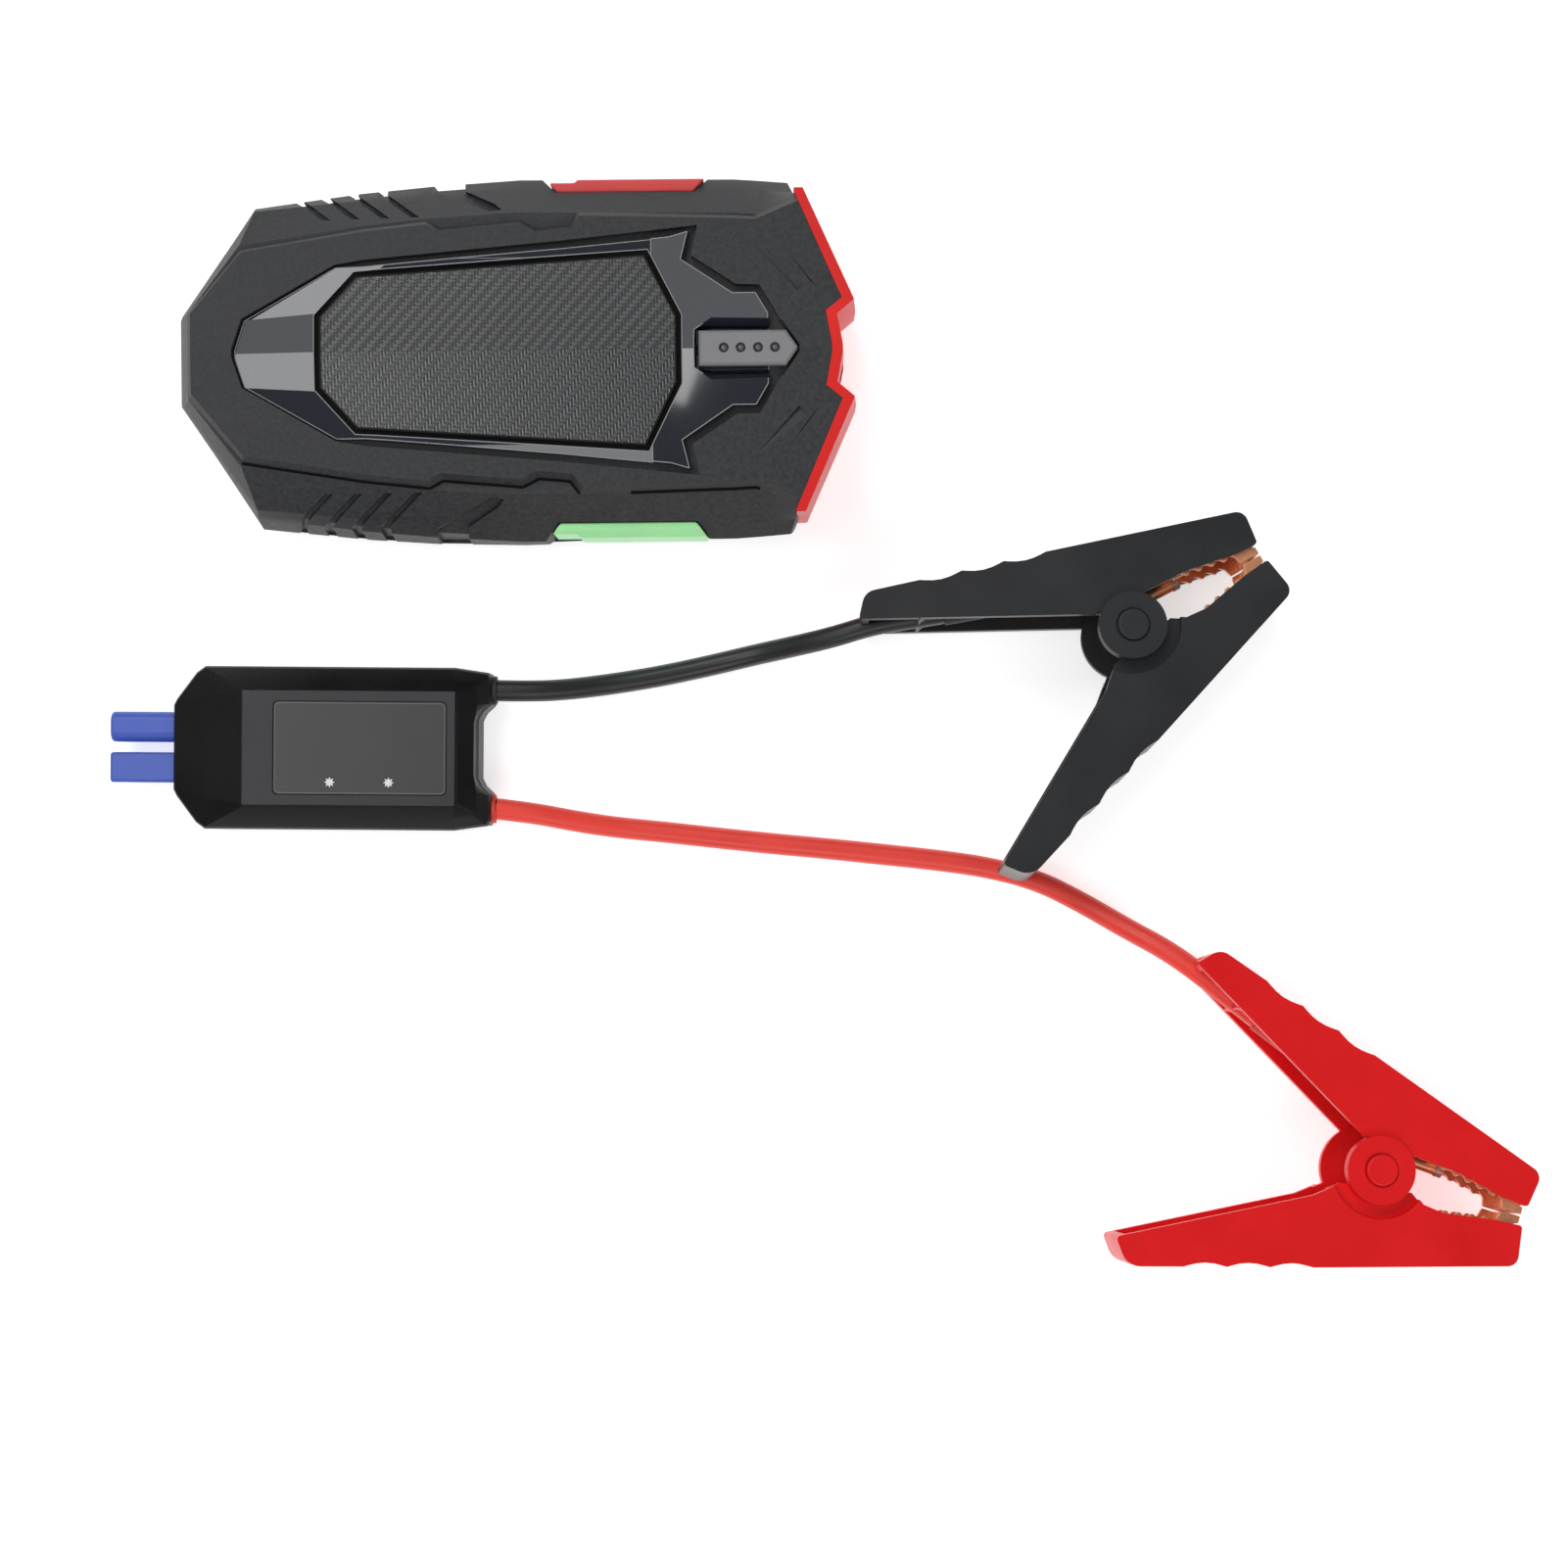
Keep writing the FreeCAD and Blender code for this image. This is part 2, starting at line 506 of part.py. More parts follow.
def box_top_parts():
    panel = panel_form(0.2, 17.7, BOX_TOP + 0.3)
    write_lead("box_panel", panel.cut(label_form(0.1, BOX_TOP - 0.2, 30)))
    label = label_form(0.0, BOX_TOP - 0.2, BOX_TOP + 0.2)
    symbols = [star(x, -8.5, BOX_TOP - 0.2, BOX_TOP + 0.25) for x in INDICATOR_X]
    write_lead("label_plate", label.cut(Part.makeCompound(symbols)))
    write_lead("indicator_windows", symbols)


def box_inside():
    write_lead("box_board", block((-68, -18), (-12.5, 12.5), (4.6, 6.2)))
    write_lead("box_relay", block((-44, -26), (-8, 8), (6.2, 15.6)))
    posts = [rod(1.25, (x, y, 1.0), (x, y, 13.6)) for x, y in BOX_SCREWS]
    heads = [rod(2.3, (x, y, 0.4), (x, y, 1.8)) for x, y in BOX_SCREWS]
    write_lead("box_screws", [post.fuse(head).removeSplitter() for post, head in zip(posts, heads)])


def plug():
    """Blue two-prong plug at the rear of the box, one prong square and one rounded."""
    body = block((-85.4, -79.6), (-9.5, 9.5), (PLUG_Z - 4.3, PLUG_Z + 4.3))
    z = (PLUG_Z - PRONG / 2, PLUG_Z + PRONG / 2)
    prongs, bores, contacts = [], [], []
    for y, corner in ((PRONG_PITCH / 2, 2.6), (-PRONG_PITCH / 2, 0.9)):
        prong = block((-103.9, -85.0), (y - PRONG / 2, y + PRONG / 2), z)
        prong = prong.makeFillet(corner, [edge for edge in prong.Edges if along_x(edge)])
        prong = prong.makeFillet(0.8, [edge for edge in prong.Edges if edge.BoundBox.XMax < -103.89])
        prongs.append(prong)
        bores.append(rod(PIN_OUT + 0.7, (-110, y, PLUG_Z), (-83, y, PLUG_Z)))
        barrel = rod(PIN_OUT + 0.7, (-101.5, y, PLUG_Z), (-83, y, PLUG_Z))
        contacts.append(barrel.cut(rod(PIN_OUT + 0.1, (-110, y, PLUG_Z), (-90, y, PLUG_Z))))
    write_lead("plug_housing", fuse([body] + prongs).cut(Part.makeCompound(bores)))
    write_lead("plug_contacts", contacts)


def along_x(edge):
    return abs(edge.tangentAt(edge.FirstParameter).x) > 0.9


def glands():
    """Short grommets that hold the two cables where they leave the box."""
    for name, y in (("black_gland", GLAND_Y), ("red_gland", -GLAND_Y)):
        flange = rod(CABLE_D / 2 + 0.9, (-12.0, y, CABLE_Z), (-7.2, y, CABLE_Z))
        write_lead(name, flange.cut(rod(CABLE_D / 2, (-20, y, CABLE_Z), (0, y, CABLE_Z))))


# ---------------------------------------------------------------- cables
def tube(name, route, diameter):
    """Round tube along straight runs joined by tangent arcs, as wide as the runs allow."""
    points = [V(*point) for point in route]
    pieces, radii, here = [], [], points[0]
    for before, corner, after in zip(points, points[1:], points[2:]):
        incoming, outgoing = corner - before, after - corner
        half_turn = incoming.getAngle(outgoing) / 2
        trim = 0.45 * min(incoming.Length, outgoing.Length)
        radii.append(trim / math.tan(half_turn))
        start = corner - incoming.normalize() * trim
        end = corner + outgoing.normalize() * trim
        middle = corner + ((start - corner) + (end - corner)) * 0.5
        toward = (middle - corner).normalize()
        crest = corner + toward * (radii[-1] / math.cos(half_turn) - radii[-1])
        pieces += [Part.LineSegment(here, start).toShape(), Part.Arc(start, crest, end).toShape()]
        here = end
    pieces.append(Part.LineSegment(here, points[-1]).toShape())
    path = Part.Wire(pieces)
    length = path.Length
    ring = Part.Wire(Part.makeCircle(diameter / 2, points[0], points[1] - points[0]))
    solid = path.makePipeShell([ring], True, False)
    section = math.pi * diameter ** 2 / 4 * length
    print(name, "length %.1f" % length, "radii", " ".join("%.0f" % r for r in radii),
          "volume ratio %.3f" % (solid.Volume / section))
    write(name, solid)


BLACK_ROUTE = [tuple(lead_spot(-7.2, GLAND_Y, CABLE_Z)), (2, -81.7, 9.0), (11, -81.2, 6.6), (21, -79.9, 3.4),
               (33, -78.1, 2.8), (46, -75.5, 2.8), (57.5, -72.9, 4.0), (67.6, -71.0, 8.0), (77.6, -69.0, 12.6),
               (87.6, -66.0, 13.9), (96.6, -64.65, 13.8), (105.2, -63.3, 13.65)]
RED_ROUTE = [tuple(lead_spot(-7.2, -GLAND_Y, CABLE_Z)), (1.5, -112.3, 9.0), (10.5, -114.2, 6.6),
             (21, -116.1, 3.4), (34, -117.5, 2.8), (48, -119.2, 2.8), (62, -120.8, 2.8), (76, -122.2, 2.8),
             (90, -123.8, 2.8), (103, -125.3, 2.8), (116, -127.2, 2.8), (129, -130.6, 2.8),
             (140.6, -136.6, 3.4), (151.2, -143.0, 6.2), (161.0, -148.4, 9.8), (169.5, -154.7, 11.6),
             (176.3, -160.3, 12.0), (183.1, -165.65, 12.45)]


# ---------------------------------------------------------------- clamps
def eased(outline, radii):
    """The outline with the corners that have a radius turned into short arcs."""
    points = []
    befores, afters = outline[-1:] + outline[:-1], outline[1:] + outline[:1]
    for before, corner, after, radius in zip(befores, outline, afters, radii):
        if radius == 0:
            points.append(corner)
            continue
        here = V(corner[0], corner[1], 0)
        first = (V(before[0], before[1], 0) - here).normalize()
        second = (V(after[0], after[1], 0) - here).normalize()
        half = first.getAngle(second) / 2
        centre = here + (first + second).normalize() * (radius / math.sin(half))
        start = here + first * (radius / math.tan(half)) - centre
        end = here + second * (radius / math.tan(half)) - centre
        for k in range(6):
            spoke = (start * (5 - k) + end * k).normalize() * radius
            points.append((centre.x + spoke.x, centre.y + spoke.y))
    return points


def scallops(start, end, count, dip):
    """Finger grips: shallow dips between evenly spaced crests, to the right of the way along."""
    run = V(end[0] - start[0], end[1] - start[1], 0)
    across = V(run.y, -run.x, 0).normalize()
    points = []
    for k in range(count):
        for part in (0.0, 0.12, 0.3, 0.5, 0.7, 0.88):
            along = V(start[0], start[1], 0) + run * ((k + part) / count)
            spot = along + across * (dip * math.sin(math.pi * part))
            points.append((spot.x, spot.y))
    return points + [end]


def half_outline(throat, swell):
    """Side view of a half, grip edge first, then nose, mouth edge, throat and the way back."""
    grip = scallops((-39.7, 35.5 + swell), (-9.1, 26.1 + swell), 3, 1.0)
    nose = [(38.5 + 0.2 * swell, 10.7 + swell), (37.3, 2.4), (30.5, 3.0), (18.0, 5.3)]
    line = [(-57.6, 35.0), (-52.9, 39.6 + swell)] + grip + nose + throat
    radii = [1.0, 3.2 + swell] + [0] * len(grip) + [2.8, 0.8, 0, 0] + [0] * len(throat)
    return eased(line, radii)


def half_channel(outline, side, swell):
    """Plastic half of a clamp: a channel open towards the other half, spine on the grip side."""
    body = prism([(u, v * side) for u, v in outline], -CLAMP_WALL, CLAMP_WALL)
    room = [(-55.3, 33.8), (-52.2, 36.7 + swell), (-39.6, 33.1 + swell), (-9.6, 23.7 + swell),
            (34.6, 9.3 + swell), (35.9, 8.0), (35.9, -12), (-60, -12), (-63, 28)]
    inside = CLAMP_WALL - CLAMP_SHEET
    return body.cut(prism([(u, v * side) for u, v in room], -inside, inside))


def both_ends(low, high):
    """The same span of heights above and below the middle of the pin."""
    return [(low, high), (-high, -low)]


def disc(radius, low, high):
    return Part.makeCylinder(radius, high - low, V(0, 0, low))


def half_a():
    """Fixed half: its ears stand outside, with a raised disc for the pin head."""
    outline = half_outline([(9.4, 5.7), (-6.6, 7.1)], FIXED_SWELL)
    parts = [half_channel(outline, 1, FIXED_SWELL)]
    parts += [disc(DISC_R, low, high) for low, high in both_ends(CLAMP_WALL - CLAMP_SHEET, CLAMP_WALL + 1.5)]
    parts.append(block((-44.6, -42.6), (27.6, 34.0), (-CLAMP_WALL + 1, CLAMP_WALL - 1)))
    tools = [disc(PIN_R + 0.03, -30, 30), rod(3.5, (-64, 38.3, 0), (-52.5, 33.0, 0)),
             rod(3.2, (-52.5, 33.0, 0), (-38, 27.6, 0))]
    heads = both_ends(CLAMP_WALL + 0.9, CLAMP_WALL + 2.0)
    tools += [disc(PIN_HEAD_R + 0.3, low, high) for low, high in heads]
    return fuse(parts).cut(Part.makeCompound(tools))


def half_b():
    """Moving half: stepped in around the pivot, so that its ears run inside the other half's."""
    outline = half_outline([(12.6, 4.8), (9.6, 2.8), (-8.0, 5.8), (-14.2, 10.9)], MOVING_SWELL)
    face = prism([(u, -v) for u, v in outline], -CLAMP_WALL, CLAMP_WALL)
    inside = CLAMP_WALL - CLAMP_SHEET - GAP
    steps = [disc(COLLAR_R, low, high) for low, high in both_ends(inside, CLAMP_WALL + 3)]
    parts = [half_channel(outline, -1, MOVING_SWELL).cut(Part.makeCompound(steps))]
    for low, high in both_ends(inside - 2.2, inside):
        parts.append(disc(COLLAR_R + 1.6, low, high).common(face))
        parts.append(disc(EAR_R if low > 0 else WIDE_EAR_R, low, high))
    for low, high in both_ends(inside - 2.2, CLAMP_WALL):
        parts.append(disc(COLLAR_R + 1.6, low, high).cut(disc(COLLAR_R, -30, 30)).common(face))
    return fuse(parts).cut(disc(PIN_R + 0.06, -30, 30))


def clamp_jaw(side):
    """Stamped copper jaw: two toothed walls that follow the mouth, a back plate and a closed nose."""
    sheet = 1.4
    half_w = CLAMP_WALL - CLAMP_SHEET - 0.1
    tooth = [(0.0, 1.2), (0.17, 0.95), (0.36, 0.12), (0.5, 0.0), (0.64, 0.12), (0.83, 0.95)]
    line = [(13.6, 8.4), (13.6, 6.4)]
    for k in range(5):
        tip = 4.95 - 0.6 * k
        line += [(14.0 + TOOTH_PITCH * (k + part), tip + height) for part, height in tooth]
    line += [(30.6, 3.0), (31.3, 2.4), (31.9, 0.25), (36.9, 0.25), (36.9, 2.0), (35.7, 2.4), (35.7, 7.8),
             (35.2, 8.4)]
    plate = prism([(u, v * side) for u, v in line], -half_w, half_w)
    room = [(0, 7.0), (34.3, 7.0), (34.3, -5), (0, -5)]
    return plate.cut(prism([(u, v * side) for u, v in room], -half_w + sheet, half_w - sheet))


def clamp_pin():
    shaft = disc(PIN_R, -CLAMP_WALL - 1.5, CLAMP_WALL + 1.5)
    heads = []
    for low, high in both_ends(CLAMP_WALL + 1.5, CLAMP_WALL + 2.6):
        outer = max(low, high, key=abs)
        heads.append(rounded(disc(PIN_HEAD_R, low, high), 0.6, lambda edge, z=outer: flat_at(edge, z)))
    return fuse([shaft] + heads)


def flat_at(edge, z):
    return abs(edge.BoundBox.ZMin - z) < 0.01 and abs(edge.BoundBox.ZMax - z) < 0.01


def clamp_spring():
    """Torsion spring round the pin: a close coil with a leg along each handle."""
    wire_d = 1.9
    inner = PIN_R + 0.9
    coil = disc(inner + wire_d, -4.6, 4.6).cut(disc(inner, -6, 6))
    legs = []
    for side in (1, -1):
        z = side * 3.6
        legs.append(rod(wire_d / 2, (-2.5, side * 4.2, z), (-22.5, side * 25.6, z)))
    return fuse([coil] + legs)


def clamp_lug():
    """Crimp that ends the cable inside the fixed handle."""
    body = rod(3.1, (-37.3, 27.36, 0), (-28.0, 24.0, 0))
    tongue = rod(1.6, (-28.6, 24.2, 0), (-22.0, 21.8, 0))
    return fuse([body, tongue])


JUMPER_BENDS = [(-22.0, 21.8, 0), (-7.0, 14.2, 0), (4.0, 6.9, 0), (9.6, 5.3, 0), (17.4, 5.0, 0)]


def clamp_jumper():
    """Copper link from the crimp to the fixed jaw, with a flat tab on the jaw's back plate."""
    runs = [rod(JUMPER_R, start, end) for start, end in zip(JUMPER_BENDS, JUMPER_BENDS[1:])]
    knees = [Part.makeSphere(JUMPER_R, V(*bend)) for bend in JUMPER_BENDS[1:-1]]
    tab = block((16.8, 21.0), (5.8, 7.0), (-1.2, 1.2))
    return fuse(runs + knees + [tab])


def clamp_sleeve():
    """Clear sleeve over the end of the copper link."""
    sleeve = rod(JUMPER_R + 0.25, (15.7, 5.065, 0), (17.5, 4.996, 0))
    link = rod(JUMPER_R + 0.01, (14.0, 5.131, 0), (19.0, 4.938, 0))
    tab = block((14.0, 20.0), (5.75, 7.1), (-1.25, 1.25))
    return sleeve.cut(link).cut(tab)


# where each clamp lies: pin top, heading of the jaws, lean direction and lean angle
CLAMPS = {"black": ((151.2, -67.2), 29.3, (0.0, 1.0), 7.0),
          "red": ((210.6, -201.6), -18.3, (0.31, 0.95), 7.2)}


def clamp(colour):
    """One clamp, laid on its side on the pin head and its cable handle."""
    (x, y), heading, lean, tilt = CLAMPS[colour]
    pieces = {"handle": half_a(), "lever": half_b(), "fixed_jaw": clamp_jaw(1), "moving_jaw": clamp_jaw(-1),
              "pin": clamp_pin(), "spring": clamp_spring(), "lug": clamp_lug(), "jumper": clamp_jumper(),
              "sleeve": clamp_sleeve()}
    turn = FreeCAD.Rotation(V(-lean[1], lean[0], 0), tilt) * FreeCAD.Rotation(V(0, 0, 1), heading)
    whole = Part.makeCompound(list(pieces.values()))
    whole.Placement = FreeCAD.Placement(V(0, 0, 0), turn)
    height = -whole.BoundBox.ZMin
    axis = turn.multVec(V(0, 0, 1))
    spot = V(x, y, 0) - V(axis.x, axis.y, 0) * (CLAMP_WALL + 2.6) + V(0, 0, height)
    placement = FreeCAD.Placement(spot, turn)
    print(colour, "pivot", spot, "axis", axis)
    print("   lug mouth", placement.multVec(V(-37.4, 27.4, 0)))
    for name, piece in pieces.items():
        piece = piece.copy()
        piece.Placement = placement.multiply(piece.Placement)
        write("%s_%s" % (colour, name), piece)


def main():
    os.makedirs("parts", exist_ok=True)
    shells()
    end_bumper()
    gloss_frame()
    carbon_plate()
    power_button()
    write("red_cover", side_cover(RED_SIDE))
    write("green_cover", side_cover(GREEN_SIDE))
    jump_socket()
    usb_ports()
    battery()
    boards()
    torch()
    screws_and_feet()
    lead_box()
    box_top_parts()
    box_inside()
    plug()
    glands()
    tube("black_cable", BLACK_ROUTE, CABLE_D)
    tube("red_cable", RED_ROUTE, CABLE_D)
    clamp("black")
    clamp("red")


main()
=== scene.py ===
"""Looks of the jump starter pack: floor, light, camera, materials, cables and fine details.

Sizes and places are in millimetres and are multiplied by MM, except where a comment says metres.
"""
import json
import math

import bmesh
import bpy
from mathutils import Matrix, Vector


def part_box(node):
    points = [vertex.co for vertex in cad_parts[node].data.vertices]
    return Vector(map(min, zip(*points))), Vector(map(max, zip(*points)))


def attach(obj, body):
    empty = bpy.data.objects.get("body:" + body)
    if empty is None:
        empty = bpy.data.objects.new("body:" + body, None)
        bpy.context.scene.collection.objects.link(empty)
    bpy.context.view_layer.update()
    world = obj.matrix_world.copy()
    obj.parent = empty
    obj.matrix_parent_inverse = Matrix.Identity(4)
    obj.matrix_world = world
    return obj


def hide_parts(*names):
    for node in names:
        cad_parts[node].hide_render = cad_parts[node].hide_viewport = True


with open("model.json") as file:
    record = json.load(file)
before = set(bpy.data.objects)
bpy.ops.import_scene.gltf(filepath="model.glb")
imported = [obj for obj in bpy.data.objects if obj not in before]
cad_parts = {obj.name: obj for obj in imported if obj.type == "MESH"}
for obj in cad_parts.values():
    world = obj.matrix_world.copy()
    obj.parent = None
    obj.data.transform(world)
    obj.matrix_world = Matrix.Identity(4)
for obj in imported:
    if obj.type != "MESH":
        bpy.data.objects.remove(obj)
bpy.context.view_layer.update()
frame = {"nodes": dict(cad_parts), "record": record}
NODES = frame["nodes"]
MM = 0.001

# ---------------------------------------------------------------- stage, light, camera (metres)
CAMERA_SPOT = (0.06505, -0.10565, 0.700)
CAMERA_TURN = -0.57             # degrees about the vertical
VIEW_WIDTH = 0.40025            # what the camera sees across, at the floor
SENSOR = 36.0
FLOOR_HALF = 3.0
FLOOR_SPOT = (0.06, -0.1, -0.0002)
FLOOR_GLOW = 0.62
WORLD_GLOW = 0.28


def build_stage():
    """White floor that glows a little, so that shadows on it stay faint."""
    mesh = bpy.data.meshes.new("floor")
    corners = [(x * FLOOR_HALF, y * FLOOR_HALF, 0) for x, y in ((-1, -1), (1, -1), (1, 1), (-1, 1))]
    mesh.from_pydata(corners, [], [(0, 1, 2, 3)])
    floor = bpy.data.objects.new("floor", mesh)
    floor.location = FLOOR_SPOT
    bpy.context.scene.collection.objects.link(floor)
    white = finish("floor_white", (0.86, 0.86, 0.86), 0.8, specular=0.1)
    shader = white.node_tree.nodes["Principled BSDF"]
    shader.inputs["Emission Color"].default_value = (1, 1, 1, 1)
    shader.inputs["Emission Strength"].default_value = FLOOR_GLOW
    floor.data.materials.append(white)


def softbox(name, spot, target, size, radiance, turn=0.0):
    """Panel light set by brightness, so that its reflection doesn't change with its size."""
    data = bpy.data.lights.new(name, "AREA")
    data.shape = "RECTANGLE"
    data.size, data.size_y = size
    data.energy = radiance * math.pi * size[0] * size[1]
    light = bpy.data.objects.new(name, data)
    light.location = spot
    light.rotation_euler = (Vector(target) - Vector(spot)).to_track_quat("-Z", "Y").to_euler()
    light.rotation_euler.rotate_axis("Z", math.radians(turn))
    bpy.context.scene.collection.objects.link(light)


def build_light():
    """Softboxes overhead, behind and in front, with dim fills between; glossy faces show where they end."""
    scene = bpy.context.scene
    scene.view_settings.view_transform = "Standard"
    world = bpy.data.worlds.new("studio")
    scene.world = world
    world.use_nodes = True
    background = world.node_tree.nodes["Background"]
    background.inputs["Color"].default_value = (0.95, 0.97, 1, 1)
    background.inputs["Strength"].default_value = WORLD_GLOW
    softbox("overhead", (-0.60, -0.02, 1.5), (-0.60, -0.02, 0), (0.60, 0.62), 4.0)
    softbox("card", (-0.036, 0.018, 1.5), (-0.036, 0.018, 0), (0.09, 0.07), 5.0, turn=-23.6)
    softbox("behind", (-0.60, 1.18, 1.5), (-0.3, 0.0, 0), (1.3, 0.66), 4.2)
    softbox("fill_left", (-0.66, 0.60, 1.5), (-0.6, 0.2, 0), (0.5, 0.5), 1.0)
    softbox("fill_right", (0.08, 0.53, 1.5), (0.08, 0.2, 0), (0.34, 0.3), 1.0)
    softbox("front", (0.25, -1.35, 1.3), (0.1, -0.1, 0), (1.4, 0.7), 2.5)
    softbox("side", (1.1, -0.7, 1.0), (0.15, -0.1, 0), (0.5, 0.5), 1.6)


def build_camera():
    """Camera straight above, looking down."""
    data = bpy.data.cameras.new("camera")
    data.sensor_width = SENSOR
    data.lens = SENSOR * CAMERA_SPOT[2] / VIEW_WIDTH
    data.clip_start = 0.01
    camera = bpy.data.objects.new("camera", data)
    camera.location = CAMERA_SPOT
    camera.rotation_euler = (0, 0, math.radians(CAMERA_TURN))
    bpy.context.scene.collection.objects.link(camera)
    bpy.context.scene.camera = camera


# ---------------------------------------------------------------- materials
CLOUD_RANGE = (0.3, 0.7)        # the part of the noise that the mottle is stretched over
GRAIN_DEPTH = 0.1


def finish(name, color, rough, metallic=0.0, specular=0.5, coat=0.0, coat_rough=0.05, transmission=0.0,
           sheen=0.0, mottle=0.0, mottle_scale=60, rough_spread=0.0, grain=0.0, grain_scale=2600):
    """Principled material: base colour with a soft mottle, grain bump and roughness variation."""
    material = bpy.data.materials.new(name)
    material.use_nodes = True
    tree = material.node_tree
    shader = tree.nodes["Principled BSDF"]
    shader.inputs["Base Color"].default_value = (*color, 1)
    shader.inputs["Roughness"].default_value = rough
    shader.inputs["Metallic"].default_value = metallic
    shader.inputs["Specular IOR Level"].default_value = specular
    shader.inputs["Coat Weight"].default_value = coat
    shader.inputs["Coat Roughness"].default_value = coat_rough
    shader.inputs["Transmission Weight"].default_value = transmission
    shader.inputs["Sheen Weight"].default_value = sheen
    place = tree.nodes.new("ShaderNodeTexCoord")
    low, high = CLOUD_RANGE
    if mottle or rough_spread:
        cloud = tree.nodes.new("ShaderNodeTexNoise")
        cloud.inputs["Scale"].default_value = mottle_scale
        cloud.inputs["Detail"].default_value = 6
        tree.links.new(place.outputs["Object"], cloud.inputs["Vector"])
    if mottle:
        ramp = tree.nodes.new("ShaderNodeValToRGB")
        ramp.color_ramp.elements[0].position = low
        ramp.color_ramp.elements[1].position = high
        ramp.color_ramp.elements[0].color = (*[c * (1 - mottle) for c in color], 1)
        ramp.color_ramp.elements[1].color = (*[min(c * (1 + mottle), 1) for c in color], 1)
        tree.links.new(cloud.outputs["Fac"], ramp.inputs["Fac"])
        tree.links.new(ramp.outputs["Color"], shader.inputs["Base Color"])
    if rough_spread:
        spread = tree.nodes.new("ShaderNodeMapRange")
        spread.inputs["From Min"].default_value = low
        spread.inputs["From Max"].default_value = high
        spread.inputs["To Min"].default_value = max(rough - rough_spread, 0.02)
        spread.inputs["To Max"].default_value = min(rough + rough_spread, 1)
        tree.links.new(cloud.outputs["Fac"], spread.inputs["Value"])
        tree.links.new(spread.outputs["Result"], shader.inputs["Roughness"])
    if grain:
        grains = tree.nodes.new("ShaderNodeTexNoise")
        grains.inputs["Scale"].default_value = grain_scale
        grains.inputs["Detail"].default_value = 2
        tree.links.new(place.outputs["Object"], grains.inputs["Vector"])
        bump = tree.nodes.new("ShaderNodeBump")
        bump.inputs["Strength"].default_value = grain
        bump.inputs["Distance"].default_value = GRAIN_DEPTH * MM
        tree.links.new(grains.outputs["Fac"], bump.inputs["Height"])
        tree.links.new(bump.outputs["Normal"], shader.inputs["Normal"])
    return material


